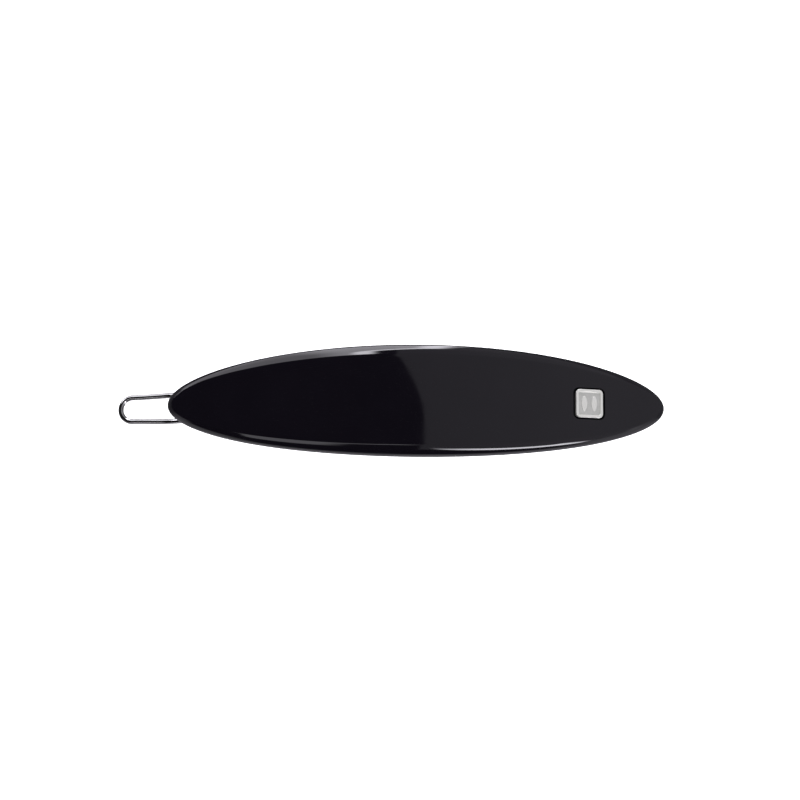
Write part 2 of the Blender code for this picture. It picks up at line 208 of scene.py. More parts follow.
def skin(name, rings, start, end):
    """A closed mesh through rings of equal length, capped by a point at each end."""
    count = len(rings[0])
    points = [tuple(start)] + [tuple(p) for ring in rings for p in ring] + [tuple(end)]
    last = len(points) - 1
    faces = []
    for i in range(count):
        j = (i + 1) % count
        faces.append((0, 1 + i, 1 + j))
        for k in range(len(rings) - 1):
            low = 1 + k * count
            faces.append((low + i, low + count + i, low + count + j, low + j))
        low = 1 + (len(rings) - 1) * count
        faces.append((last, low + j, low + i))
    mesh = bpy.data.meshes.new(name)
    mesh.from_pydata(points, [], faces)
    bm = bmesh.new()
    bm.from_mesh(mesh)
    bmesh.ops.recalc_face_normals(bm, faces=bm.faces)
    bm.to_mesh(mesh)
    bm.free()
    mesh.shade_smooth()
    return mesh


def prism(name, outlines, low, high, turn=None):
    """Outlines in X and Y, each pulled up from low to high, in one mesh."""
    turn = turn or Matrix.Identity(4)
    bm = bmesh.new()
    for outline in outlines:
        bottom = [bm.verts.new(turn @ Vector((x, y, low))) for x, y in outline]
        top = [bm.verts.new(turn @ Vector((x, y, high))) for x, y in outline]
        bm.faces.new(bottom)
        bm.faces.new(top)
        for i in range(len(outline)):
            j = (i + 1) % len(outline)
            bm.faces.new((bottom[i], bottom[j], top[j], top[i]))
    bmesh.ops.recalc_face_normals(bm, faces=bm.faces)
    mesh = bpy.data.meshes.new(name)
    bm.to_mesh(mesh)
    bm.free()
    return mesh


def rounded_box(half_x, half_y, corner, steps=8):
    points = []
    for quarter, (sx, sy) in enumerate(((1, 1), (-1, 1), (-1, -1), (1, -1))):
        for step in range(steps + 1):
            turn = math.radians(90.0 * (quarter + step / steps))
            x = sx * (half_x - corner) + corner * math.cos(turn)
            points.append((x, sy * (half_y - corner) + corner * math.sin(turn)))
    return points


def circle(radius, x=0.0, y=0.0, count=48):
    turns = (2.0 * math.pi * i / count for i in range(count))
    return [(x + radius * math.cos(turn), y + radius * math.sin(turn)) for turn in turns]


def turned(name, profile, count=64):
    """A profile of radius and height turned about Z, from one point on the axis to another."""
    turns = np.linspace(0.0, 2.0 * np.pi, count, endpoint=False)
    rings = [np.c_[r * np.cos(turns), r * np.sin(turns), np.full(count, z)] for r, z in profile[1:-1]]
    mesh = skin(name, rings, (0.0, 0.0, profile[0][1]), (0.0, 0.0, profile[-1][1]))
    mesh.set_sharp_from_angle(angle=math.radians(38.0))
    return mesh


def cut(target, mesh, operation="DIFFERENCE"):
    """A Boolean with another mesh in the same frame, applied at once."""
    tool = bpy.data.objects.new("tool", mesh)
    bpy.context.scene.collection.objects.link(tool)
    step = target.modifiers.new("cut", "BOOLEAN")
    step.operation = operation
    step.solver = "EXACT"
    step.object = tool
    apply_modifiers(target)
    bpy.data.objects.remove(tool)


def apply_modifiers(target):
    graph = bpy.context.evaluated_depsgraph_get()
    mesh = bpy.data.meshes.new_from_object(target.evaluated_get(graph), depsgraph=graph)
    target.modifiers.clear()
    target.data = mesh


def soften(target, width, segments=3, angle=32.0):
    """Small rounded edges, with the flat faces kept flat."""
    step = target.modifiers.new("edges", "BEVEL")
    step.width = width
    step.segments = segments
    step.limit_method = "ANGLE"
    step.angle_limit = math.radians(angle)
    step.harden_normals = True
    target.data.shade_smooth()
    apply_modifiers(target)


def filleted(corners, start, end, steps=8):
    """A line through the corners with each one rounded, as points of inset and depth."""
    path = [start, *[Vector(c[:2]) for c in corners], end]
    made = [start]
    for i, corner in enumerate(corners, start=1):
        before = (path[i - 1] - path[i]).normalized()
        after = (path[i + 1] - path[i]).normalized()
        half = before.angle(after) / 2.0
        centre = path[i] + (before + after).normalized() * corner[2] / math.sin(half)
        reach = corner[2] / math.tan(half)
        first, last = path[i] + before * reach - centre, path[i] + after * reach - centre
        for step in range(steps + 1):
            made.append(centre + corner[2] * first.slerp(last, step / steps))
    return made + [end]


# ---------------------------------------------------------------- the lens

def lens_ring(half_length, half_width, depth):
    turns = np.linspace(0.0, 2.0 * np.pi, LENS_SEGMENTS, endpoint=False)
    bend = np.arcsin(half_length * np.cos(turns) / ARCH_RADIUS)
    reach = ARCH_RADIUS - depth
    return np.c_[reach * np.sin(bend), half_width * np.sin(turns), reach * np.cos(bend) - ARCH_RADIUS]


def lens_mesh():
    """The whole lens as one smooth closed surface."""
    crease, rim = LENS_CORNERS[0], LENS_CORNERS[-1]
    crown_shares = [*MIDDLE_SHARES, *[i / CROWN_RINGS for i in range(2, CROWN_RINGS)]]
    slope = 2.0 * CROWN_RISE / (HALF_WIDTH - crease[0])
    start = Vector((crease[0] + 0.6 * MM, crease[1] - 0.6 * MM * slope))
    end = Vector((rim[0] + 1.0 * MM, rim[1]))
    profile = filleted(LENS_CORNERS, start, end)
    rings = []
    edge = profile[0]
    for share in crown_shares:
        long = share * (HALF_LENGTH - TIP_INSET_SHARE * edge.x)
        rings.append(lens_ring(long, share * (HALF_WIDTH - edge.x), edge.y * share**2))
    for point in profile:
        rings.append(lens_ring(HALF_LENGTH - TIP_INSET_SHARE * point.x, HALF_WIDTH - point.x, point.y))
    for i in range(UNDERSIDE_RINGS - 1, 0, -1):
        share = i / UNDERSIDE_RINGS
        long = share * (HALF_LENGTH - TIP_INSET_SHARE * end.x)
        rings.append(lens_ring(long, share * (HALF_WIDTH - end.x), end.y))
    return skin("acetate_lens", rings, (0.0, 0.0, 0.0), (0.0, 0.0, -end.y))


def keep_smooth(target, whole):
    """After the cuts, gives the outer faces the whole lens's normals, so that reflections run on unbroken."""
    tree = BVHTree.FromPolygons([v.co for v in whole.vertices], [tuple(p.vertices) for p in whole.polygons])
    normals = [v.normal.copy() for v in whole.vertices]
    polygons = [tuple(p.vertices) for p in whole.polygons]
    points = [v.co.copy() for v in whole.vertices]
    mesh = target.data
    known = {}

    def whole_normal(index):
        if index not in known:
            place, flat, face, _ = tree.find_nearest(mesh.vertices[index].co)
            weights = [1.0 / ((points[v] - place).length + 1e-9) ** 2 for v in polygons[face]]
            total = sum((w * normals[v] for w, v in zip(weights, polygons[face])), Vector((0.0, 0.0, 0.0)))
            known[index] = total.normalized()
        return known[index]

    made = [None] * len(mesh.loops)
    for polygon in mesh.polygons:
        _, flat, _, distance = tree.find_nearest(polygon.center)
        outer = distance < 1.5 * NEAR and flat.dot(polygon.normal) > 0.9
        for loop in polygon.loop_indices:
            made[loop] = whole_normal(mesh.loops[loop].vertex_index) if outer else polygon.normal
    mesh.shade_smooth()
    mesh.normals_split_custom_set(made)


def make_lens(finish, recess_shade_finish):
    """The lens with the plaque's recess and the seats and holes of the fittings cut into it, and painted
    black shade in the recess.
    """
    whole = lens_mesh()
    whole.transform(CROWN)
    lens = object_of("acetate_lens", whole.copy(), Matrix.Identity(4), [finish, recess_shade_finish])
    recess_long = PLAQUE_SIDE / 2.0 + RECESS_GAP_LONG
    recess_wide = PLAQUE_SIDE / 2.0 + RECESS_GAP_WIDE
    recess = rounded_box(recess_long, recess_wide, PLAQUE_CORNER + RECESS_GAP_WIDE)
    holes = [circle(PEG_RADIUS + HOLE_GAP, side * PEG_SPACING / 2.0) for side in (-1, 1)]
    seat = rounded_box(BASE_LENGTH / 2.0 + HOLE_GAP, EAR_INSIDE + EAR_SHEET + HOLE_GAP, SEAT_CORNER)
    plate = rounded_box(PLATE_LENGTH / 2.0 + HOLE_GAP, PLATE_WIDTH / 2.0 + HOLE_GAP, PLATE_WIDTH / 2.0)
    rivets = [circle(RIVET_RADIUS + HOLE_GAP, side * RIVET_OFFSET) for side in (-1, 1)]
    tail = circle(TAIL_RADIUS + HOLE_GAP)
    tail_top = SEAT_DEPTH + TAIL_HEIGHT + FACE_GAP
    cuts = (
        (PLAQUE_SEAT, [recess], -PLAQUE_DEPTH - FACE_GAP, OVERCUT),
        (PLAQUE_SEAT, holes, -PLAQUE_DEPTH - PEG_LENGTH - 2.0 * FACE_GAP, -PLAQUE_DEPTH / 2.0),
        (HINGE_SEAT, [seat], -OVERCUT, SEAT_DEPTH),
        (HINGE_SEAT, rivets, -OVERCUT, RIVET_LENGTH),
        (STUD_SEAT, [plate], -OVERCUT, SEAT_DEPTH),
        (STUD_SEAT, rivets, -OVERCUT, RIVET_LENGTH),
        (STUD_SEAT, [tail], -OVERCUT, tail_top),
    )
    for place, outlines, low, high in cuts:
        tool = prism("tool", outlines, low, high)
        tool.transform(place)
        cut(lens, tool)
    keep_smooth(lens, whole)
    # The recess's sunk faces take the second slot, the painted shade that darkens the gap round the plaque.
    to_seat = PLAQUE_SEAT.inverted()
    for polygon in lens.data.polygons:
        centre = to_seat @ polygon.center
        inside = abs(centre.x) < recess_long + NEAR and abs(centre.y) < recess_wide + NEAR
        sunk = -PLAQUE_DEPTH - 2.0 * FACE_GAP < centre.z < -RECESS_SHADE_TOP
        polygon.material_index = 1 if inside and sunk else 0
    return lens


# ---------------------------------------------------------------- the plaque

def smooth_step(share):
    return share * share * (3.0 - 2.0 * share)


def plaque_height(x, y, inset):
    """Height of the plaque's top over its seat: raised rim, sunk field, two ribbed leaves."""
    drop = np.clip((inset - PLAQUE_RIM) / FIELD_WALL, 0.0, 1.0)
    base = PLAQUE_PROUD - PLAQUE_FIELD_DROP * smooth_step(drop)
    relief = np.zeros_like(x)
    for side in (-1, 1):
        sideways = np.abs(x - side * RELIEF_SPACING / 2.0)
        across = sideways / (LEAF_WIDTH / 2.0)
        along = np.abs(y) / (LEAF_LENGTH / 2.0)
        body = np.clip(1.0 - across**1.6 - along**1.8, 0.0, 1.0)
        step = smooth_step(np.clip(body / 0.25, 0.0, 1.0))
        dome = LEAF_STEP * step + (1.0 - LEAF_STEP) * np.sqrt(body)
        rib = np.exp(-((across / RIB_WIDTH) ** 2)) * np.clip(1.3 - 1.4 * along, 0.0, 1.0)
        # Veins slant up from the rib, counted from below the field.
        vein = np.modf((y + 5.0 * MM - VEIN_LEAN * sideways) / VEIN_PITCH)[0] - 0.5
        veins = np.exp(-((vein / VEIN_WIDTH) ** 2)) * np.clip(2.0 * body - 0.2, 0.0, 1.0)
        relief = np.maximum(relief, dome * (1.0 - RIB_DEPTH * rib) * (1.0 - VEIN_DEPTH * veins))
    return base + RELIEF_HEIGHT * relief * drop


def straight_filled(outline, corner_points, pieces=26):
    """A rounded box's outline with points added along its four straight sides."""
    made = []
    for i, point in enumerate(outline):
        after = outline[(i + 1) % len(outline)]
        made.append(point)
        if (i + 1) % corner_points == 0:
            for k in range(1, pieces):
                t = k / pieces
                made.append((point[0] * (1 - t) + after[0] * t, point[1] * (1 - t) + after[1] * t))
    return made


def plaque_mesh():
    """Rings of the plaque's outline, from the middle of its face over the edge to the middle of its back."""
    corner_steps = 14
    field_steps = 46
    half = PLAQUE_SIDE / 2.0
    edge = PLAQUE_EDGE

    def ring_at(inset, height=None):
        side = half - inset
        corner = max(PLAQUE_CORNER - inset, SHARPEST_CORNER)
        outline = rounded_box(side, side, corner, corner_steps)
        outline = np.array(straight_filled(outline, corner_steps + 1))
        x, y = outline[:, 0], outline[:, 1]
        z = plaque_height(x, y, inset) if height is None else np.full(len(x), height)
        return np.c_[x, y, z]

    insets = [half * (1.0 - i / field_steps) for i in range(1, field_steps - 12)]
    insets += [PLAQUE_RIM + FIELD_WALL * (1.0 - i / 6.0) for i in range(7)]
    insets += [0.6 * PLAQUE_RIM, edge + NEAR, edge]
    rings = [ring_at(inset) for inset in insets]
    for step in range(1, 5):
        turn = math.radians(22.5 * step)
        rings.append(ring_at(edge * (1.0 - math.sin(turn)), PLAQUE_PROUD - edge * (1.0 - math.cos(turn))))
    rings.append(ring_at(0.0, -PLAQUE_DEPTH + edge))
    rings.append(ring_at(edge, -PLAQUE_DEPTH))
    rings.append(ring_at(0.6 * half, -PLAQUE_DEPTH))
    middle = float(plaque_height(np.zeros(1), np.zeros(1), half)[0])
    return skin("plaque_plate", rings, (0.0, 0.0, middle), (0.0, 0.0, -PLAQUE_DEPTH))


def make_plaque(rim_finish, field_finish):
    """The plaque with its two pegs, satin in the sunk field and bright on the rim and leaves."""
    plaque = object_of("plaque_plate", plaque_mesh(), Matrix.Identity(4), [rim_finish, field_finish])
    peg = PLAQUE_DEPTH + PEG_LENGTH
    for side in (-1, 1):
        profile = [
            (0.0, -peg), (0.7 * PEG_RADIUS, -peg), (PEG_RADIUS, -peg + 0.2 * MM),
            (PEG_RADIUS, -0.55 * PLAQUE_DEPTH), (0.0, -0.55 * PLAQUE_DEPTH),
        ]
        tool = turned("tool", profile, count=24)
        tool.transform(Matrix.Translation((side * PEG_SPACING / 2.0, 0.0, 0.0)))
        cut(plaque, tool, "UNION")
    inner = PLAQUE_SIDE / 2.0 - PLAQUE_RIM - FIELD_WALL / 2.0
    for polygon in plaque.data.polygons:
        centre = polygon.center
        sunk = max(abs(centre.x), abs(centre.y)) < inner and centre.z > PLAQUE_PROUD - 1.5 * PLAQUE_FIELD_DROP
        raised = centre.z > PLAQUE_PROUD - PLAQUE_FIELD_DROP + 0.35 * RELIEF_HEIGHT
        polygon.material_index = 1 if sunk and not raised else 0
    plaque.data.shade_smooth()
    plaque.data.set_sharp_from_angle(angle=math.radians(50.0))
    plaque.data.transform(PLAQUE_SEAT)
    return plaque


# ---------------------------------------------------------------- fittings

def ear_outline():
    """An ear from the side: straight at the root and round about the pivot."""
    points = [(EAR_HALF_LENGTH, 0.4 * MM), (EAR_HALF_LENGTH, -EAR_ROOT)]
    for i in range(25):
        turn = math.radians(-15.0 - 150.0 * i / 24)
        points.append((EAR_ROUND * math.cos(turn), -HINGE_DROP + EAR_ROUND * math.sin(turn)))
    return points + [(-EAR_HALF_LENGTH, -EAR_ROOT), (-EAR_HALF_LENGTH, 0.4 * MM)]


def make_bracket(finish):
    """Sheet base with two ears folded down from it, each with a hole for the wire's bent end."""
    top = SEAT_DEPTH - FACE_GAP
    outside = EAR_INSIDE + EAR_SHEET
    low = -HINGE_DROP - EAR_ROUND - OVERCUT
    through = outside + OVERCUT
    base = prism("base", [rounded_box(BASE_LENGTH / 2.0, BASE_HALF_WIDTH, BASE_CORNER)], top - SHEET, top)
    bracket = object_of("hinge_bracket_plate", base, Matrix.Identity(4), [finish])
    fold = []
    for step in range(9):
        turn = math.radians(90.0 * step / 8)
        y = outside - EAR_BEND + EAR_BEND * math.sin(turn)
        fold.append((y, top - EAR_BEND + EAR_BEND * math.cos(turn)))
    fold += [(outside, low), (EAR_INSIDE, low)]
    inner = EAR_BEND - EAR_SHEET
    for step in range(5):
        turn = math.radians(90.0 - 90.0 * step / 4)
        y = EAR_INSIDE - inner + inner * math.sin(turn)
        fold.append((y, top - SHEET - inner + inner * math.cos(turn)))
    fold += [(EAR_INSIDE - EAR_UNDERLAP, top - SHEET), (EAR_INSIDE - EAR_UNDERLAP, top)]
    # The section lies in Y and Z and runs along X.
    along = Matrix(((0, 0, 1, 0), (1, 0, 0, 0), (0, 1, 0, 0), (0, 0, 0, 1)))
    upright = Matrix.Rotation(math.radians(90.0), 4, "X")
    for side in (-1, 1):
        section = [(side * y, z) for y, z in fold]
        ear = prism("ear", [section], -EAR_HALF_LENGTH, EAR_HALF_LENGTH, along)
        lug = object_of("lug", ear, Matrix.Identity(4), [finish])
        cut(lug, prism("tool", [ear_outline()], -through, through, upright), "INTERSECT")
        cut(bracket, lug.data, "UNION")
        bpy.data.objects.remove(lug)
    pivot = [circle(PIVOT_HOLE_RADIUS, 0.0, -HINGE_DROP)]
    cut(bracket, prism("tool", pivot, -through, through, upright))
    rivets = [circle(RIVET_RADIUS + HOLE_GAP, side * RIVET_OFFSET, count=32) for side in (-1, 1)]
    cut(bracket, prism("tool", rivets, -OVERCUT, OVERCUT))
    soften(bracket, 0.05 * MM, 2, 40.0)
    bracket.data.transform(HINGE_SEAT)
    return bracket


def make_stud_plate(finish):
    """The round-ended plate that carries the ball stud."""
    top = SEAT_DEPTH - FACE_GAP
    outline = rounded_box(PLATE_LENGTH / 2.0, PLATE_WIDTH / 2.0, 0.99 * PLATE_WIDTH / 2.0, steps=16)
    sheet = prism("sheet", [outline], top - SHEET, top)
    plate = object_of("stud_plate_sheet", sheet, Matrix.Identity(4), [finish])
    holes = [circle(RIVET_RADIUS + HOLE_GAP, side * RIVET_OFFSET, count=32) for side in (-1, 1)]
    cut(plate, prism("tool", holes + [circle(SHANK_RADIUS + HOLE_GAP)], -OVERCUT, OVERCUT))
    soften(plate, 0.06 * MM, 3, 40.0)
    plate.data.transform(STUD_SEAT)
    return plate


def make_rivet(name, place, x, finish):
    """A drive rivet with a low domed head under the sheet."""
    head_top = SEAT_DEPTH - FACE_GAP - SHEET - FACE_GAP
    tip = head_top + RIVET_LENGTH - SHEET
    profile = [(0.0, head_top - RIVET_HEAD_HEIGHT)]
    for i in range(1, 11):
        turn = math.radians(8.4 * i)
        drop = RIVET_HEAD_HEIGHT * math.cos(turn) ** 0.7
        profile.append((RIVET_HEAD_RADIUS * math.sin(turn), head_top - drop))
    profile += [
        (RIVET_HEAD_RADIUS, head_top - 0.07 * MM), (RIVET_HEAD_RADIUS, head_top), (RIVET_RADIUS, head_top),
        (RIVET_RADIUS, tip - RIVET_RADIUS), (0.5 * RIVET_RADIUS, tip), (0.0, tip),
    ]
    place = place @ Matrix.Translation((x, 0.0, 0.0))
    return object_of(name, turned(name, profile, count=40), place, [finish])


def make_ball_stud(finish):
    """The turned ball on its neck, with a shank through the plate and a peened tail."""
    plate_top = SEAT_DEPTH - FACE_GAP
    neck_top = plate_top - SHEET - FACE_GAP
    low = math.acos(BALL_FLAT_RADIUS / BALL_RADIUS)
    high = math.acos(NECK_RADIUS / BALL_RADIUS)
    arc = np.linspace(-low, high, 34)
    ball = [(BALL_RADIUS * math.cos(a), -BALL_DROP + BALL_RADIUS * math.sin(a)) for a in arc]
    tail_low = plate_top + FACE_GAP
    profile = [
        (0.0, ball[0][1] + 0.03 * MM), (0.8 * BALL_FLAT_RADIUS, ball[0][1] + 0.02 * MM), *ball,
        (NECK_RADIUS, neck_top - 0.05 * MM), (NECK_RADIUS - 0.05 * MM, neck_top), (SHANK_RADIUS, neck_top),
        (SHANK_RADIUS, tail_low), (TAIL_RADIUS, tail_low), (0.97 * TAIL_RADIUS, tail_low + 0.3 * TAIL_HEIGHT),
        (0.8 * TAIL_RADIUS, tail_low + 0.7 * TAIL_HEIGHT), (0.0, tail_low + 0.85 * TAIL_HEIGHT),
    ]
    return object_of("ball_stud_turning", turned("ball_stud_turning", profile, 80), STUD_SEAT, [finish])


# ---------------------------------------------------------------- the wire

def smooth_curve(points, first_tangent, last_tangent, steps):
    """A cubic through the points with the given end directions, with steps points to each stretch."""
    count = len(points)
    spans = [(points[i + 1] - points[i]).length for i in range(count - 1)]
    tangents = [first_tangent.normalized()]
    for i in range(1, count - 1):
        before = (points[i] - points[i - 1]) / spans[i - 1]
        after = (points[i + 1] - points[i]) / spans[i]
        tangents.append((before * spans[i] + after * spans[i - 1]) / (spans[i - 1] + spans[i]))
    tangents.append(last_tangent.normalized())
    made = [points[0]]
    for i, span in enumerate(spans):
        for step in range(1, steps + 1):
            t = step / steps
            start = (2 * t**3 - 3 * t**2 + 1) * points[i] + (t**3 - 2 * t**2 + t) * span * tangents[i]
            end = (3 * t**2 - 2 * t**3) * points[i + 1] + (t**3 - t**2) * span * tangents[i + 1]
            made.append(start + end)
    return made


def wire_path():
    """The wire's centre line from one bent end round the loop to the other, in the crown frame."""
    path = [HINGE_PLACE + Vector((0.0, WIRE_END_Y, 0.0))]
    corner = HINGE_PLACE + Vector((-CORNER_RADIUS, STRAND_START_Y + CORNER_RADIUS, 0.0))
    for i in range(13):
        turn = math.radians(90.0 * i / 12)
        path.append(corner + CORNER_RADIUS * Vector((math.cos(turn), -math.sin(turn), 0.0)))
    stations = [path[-1]] + [Vector(place) for place in STRAND]
    along = Vector((-math.cos(TAB_SLOPE), 0.0, -math.sin(TAB_SLOPE)))
    path += smooth_curve(stations, Vector((-1.0, 0.0, 0.0)), along, 10)[1:]
    radius = STRAND[-1][1]
    centre = stations[-1] - Vector((0.0, radius, 0.0))
    for i in range(1, 17):
        turn = math.pi * i / 32
        path.append(centre + radius * (math.sin(turn) * along + math.cos(turn) * Vector((0.0, 1.0, 0.0))))
    return path + [Vector((p.x, -p.y, p.z)) for p in reversed(path[:-1])]


def make_wire(finish):
    """A round wire swept along its centre line, with length and girth kept as UVs for the drawn finish."""
    path = wire_path()
    sides = 28
    tangents = []
    for i in range(len(path)):
        tangents.append((path[min(i + 1, len(path) - 1)] - path[max(i - 1, 0)]).normalized())
    across = Vector((0.0, 0.0, 1.0))
    rings, lengths = [], []
    length = 0.0
    edge = WIRE_END_ROUND
    stops = []
    for i, (place, tangent) in enumerate(zip(path, tangents)):
        if i:
            length += (place - path[i - 1]).length
        across = (across - tangent * across.dot(tangent)).normalized()
        stops.append((place, tangent, across.copy(), length, WIRE_RADIUS))
    first, last = stops[0], stops[-1]
    ends = []
    for share in (0.0, 0.35, 0.7):
        turn = math.asin(1.0 - share)
        ends.append((edge * share, WIRE_RADIUS - edge * (1.0 - math.cos(turn))))
    opening = [(first[0] + first[1] * d, first[1], first[2], d, r) for d, r in ends]
    moved = (first[0] + first[1] * edge, first[1], first[2], edge, WIRE_RADIUS)
    closing = [(last[0] - last[1] * d, last[1], last[2], length - d, r) for d, r in reversed(ends)]
    stops = [*opening, moved, *stops[1:-1], *closing]
    for place, tangent, up, at, radius in stops:
        side = tangent.cross(up)
        turns = [2.0 * math.pi * k / sides for k in range(sides)]
        rings.append([place + radius * (math.cos(a) * up + math.sin(a) * side) for a in turns])
        lengths.append(at)
    mesh = skin("wire_spring_loop", rings, path[0], path[-1])
    layer = mesh.uv_layers.new(name="drawn")
    for polygon in mesh.polygons:
        members = [mesh.loops[i].vertex_index for i in polygon.loop_indices]
        girths = [((v - 1) % sides) / sides for v in members]
        wraps = max(girths) - min(girths) > 0.5
        for loop, v, girth in zip(polygon.loop_indices, members, girths):
            ring = min(max((v - 1) // sides, 0), len(lengths) - 1)
            turn = girth + 1.0 if wraps and girth < 0.5 else girth
            layer.data[loop].uv = (lengths[ring] / (10.0 * MM), turn)
    mesh.set_sharp_from_angle(angle=math.radians(60.0))
    return object_of("wire_spring_loop", mesh, CROWN, [finish])


# ---------------------------------------------------------------- materials

class Nodes:
    """A short way to write a node tree."""

    def __init__(self, tree):
        self.tree = tree

    def add(self, kind, inputs=None, **settings):
        node = self.tree.nodes.new(kind)
        for name, value in settings.items():
            setattr(node, name, value)
        for socket, value in (inputs or {}).items():
            if isinstance(value, bpy.types.NodeSocket):
                self.tree.links.new(value, node.inputs[socket])
            else:
                node.inputs[socket].default_value = value
        return node

    def math(self, operation, a, b=0.0, clamp=False):
        node = self.add("ShaderNodeMath", {0: a, 1: b}, operation=operation)
        node.use_clamp = clamp
        return node.outputs[0]

    def times(self, a, b):
        return self.math("MULTIPLY", a, b)

    def remap(self, value, low, high, to_low=0.0, to_high=1.0, smooth=False):
        kind = "SMOOTHSTEP" if smooth else "LINEAR"
        inputs = {"Value": value, "From Min": low, "From Max": high, "To Min": to_low, "To Max": to_high}
        return self.add("ShaderNodeMapRange", inputs, interpolation_type=kind).outputs["Result"]

    def place(self, scale=(1.0, 1.0, 1.0), turn=0.0, source="Object"):
        coordinates = self.add("ShaderNodeTexCoord").outputs[source]
        inputs = {"Vector": coordinates, "Scale": scale, "Rotation": (0.0, turn, 0.0)}
        return self.add("ShaderNodeMapping", inputs).outputs["Vector"]

    def noise(self, vector, scale, detail=3.0, roughness=0.55):
        inputs = {"Vector": vector, "Scale": scale, "Detail": detail, "Roughness": roughness}
        return self.add("ShaderNodeTexNoise", inputs).outputs["Fac"]

    def mix(self, share, a, b):
        node = self.add("ShaderNodeMix", data_type="RGBA")
        for index, value in ((0, share), (6, a), (7, b)):
            if isinstance(value, bpy.types.NodeSocket):
                self.tree.links.new(value, node.inputs[index])
            else:
                node.inputs[index].default_value = value
        return node.outputs[2]

    def bump(self, height, strength, distance, under=None):
        inputs = {"Height": height, "Strength": strength, "Distance": distance}
        if under is not None:
            inputs["Normal"] = under
        return self.add("ShaderNodeBump", inputs).outputs["Normal"]


def new_material(name):
    made = bpy.data.materials.new(name)
    made.use_nodes = True
    return Nodes(made.node_tree), made.node_tree.nodes["Principled BSDF"], made


def acetate():
    """Black cellulose acetate, tumbled and buffed: deep gloss, faint haze and hairline scratches."""
    nodes, shader, made = new_material("polished_black_acetate")
    link = made.node_tree.links.new
    place = nodes.place()
    cloud = nodes.noise(place, 95.0, 4.0)
    tint = nodes.mix(cloud, (0.0026, 0.0021, 0.0036, 1.0), (0.0042, 0.0035, 0.0056, 1.0))
    link(tint, shader.inputs["Base Color"])
    haze = nodes.remap(nodes.noise(place, 260.0, 5.0), 0.35, 0.75, 0.035, 0.075)
    scratch_a = nodes.noise(nodes.place((130.0, 4200.0, 900.0)), 1.0, 2.0)
    scratch_b = nodes.noise(nodes.place((3000.0, 260.0, 900.0), 0.5), 1.0, 2.0)
    lines = nodes.math("MAXIMUM", nodes.remap(scratch_a, 0.68, 0.80), nodes.remap(scratch_b, 0.70, 0.82))
    rough = nodes.math("ADD", haze, nodes.times(lines, 0.05))
    link(rough, shader.inputs["Roughness"])
    shader.inputs["IOR"].default_value = 1.48
    wave = nodes.bump(nodes.noise(place, 120.0, 1.0), 0.06, 0.0002)
    link(nodes.bump(lines, 0.03, 0.00001, wave), shader.inputs["Normal"])
    return made


def recess_shade():
    """Painted shade for the plaque's recess: a dull, nearly unreflecting black on the groove's walls and
    floor, so the gap round the plaque reads as a dark line of shade.
    """
    nodes, shader, made = new_material("painted_recess_shade")
    link = made.node_tree.links.new
    grain = nodes.noise(nodes.place(), 9000.0, 3.0)
    tint = nodes.mix(grain, (0.002, 0.002, 0.002, 1.0), (0.005, 0.005, 0.006, 1.0))
    link(tint, shader.inputs["Base Color"])
    link(nodes.remap(grain, 0.3, 0.7, 0.75, 0.95), shader.inputs["Roughness"])
    shader.inputs["Specular IOR Level"].default_value = 0.1
    return made


def metal(name, dark, light, low, high, grain=9000.0, stretch=(1.0, 1.0, 1.0), lift=0.12, metallic=1.0):
    """A metal with grain in its colour, roughness and surface."""
    nodes, shader, made = new_material(name)
    link = made.node_tree.links.new
    shader.inputs["Metallic"].default_value = metallic
    broad = nodes.noise(nodes.place(), 700.0, 4.0)
    fine = nodes.noise(nodes.place(stretch), grain, 3.0)
    shade = nodes.math("ADD", nodes.times(broad, 0.6), nodes.times(fine, 0.4))
    link(nodes.mix(nodes.remap(shade, 0.3, 0.7), dark, light), shader.inputs["Base Color"])
    link(nodes.remap(shade, 0.3, 0.7, low, high), shader.inputs["Roughness"])
    link(nodes.bump(fine, lift, NEAR), shader.inputs["Normal"])
    return made


def drawn_wire():
    """Spring wire with the fine lines of its drawing along it, nickel bright."""
    nodes, shader, made = new_material("drawn_spring_wire")
    link = made.node_tree.links.new
    shader.inputs["Metallic"].default_value = 1.0
    lines = nodes.noise(nodes.place((0.6, 34.0, 1.0), source="UV"), 1.0, 3.0)
    spots = nodes.noise(nodes.place(), 1500.0, 4.0)
    shade = nodes.math("ADD", nodes.times(lines, 0.65), nodes.times(spots, 0.35))
    tone = nodes.remap(shade, 0.3, 0.7)
    link(nodes.mix(tone, (0.34, 0.34, 0.34, 1.0), (0.50, 0.50, 0.49, 1.0)), shader.inputs["Base Color"])
    link(nodes.remap(tone, 0.0, 1.0, 0.20, 0.10), shader.inputs["Roughness"])
    link(nodes.bump(lines, 0.12, NEAR), shader.inputs["Normal"])
    return made


# ---------------------------------------------------------------- studio

def window(nodes, value, low, high, soft):
    """One between low and high, falling softly to nothing outside; either may be a node's output."""
    below = nodes.math("SUBTRACT", value, low)
    above = nodes.math("SUBTRACT", high, value)
    rise = nodes.remap(below, -soft, soft, smooth=True)
    return nodes.times(rise, nodes.remap(above, -soft, soft, smooth=True))


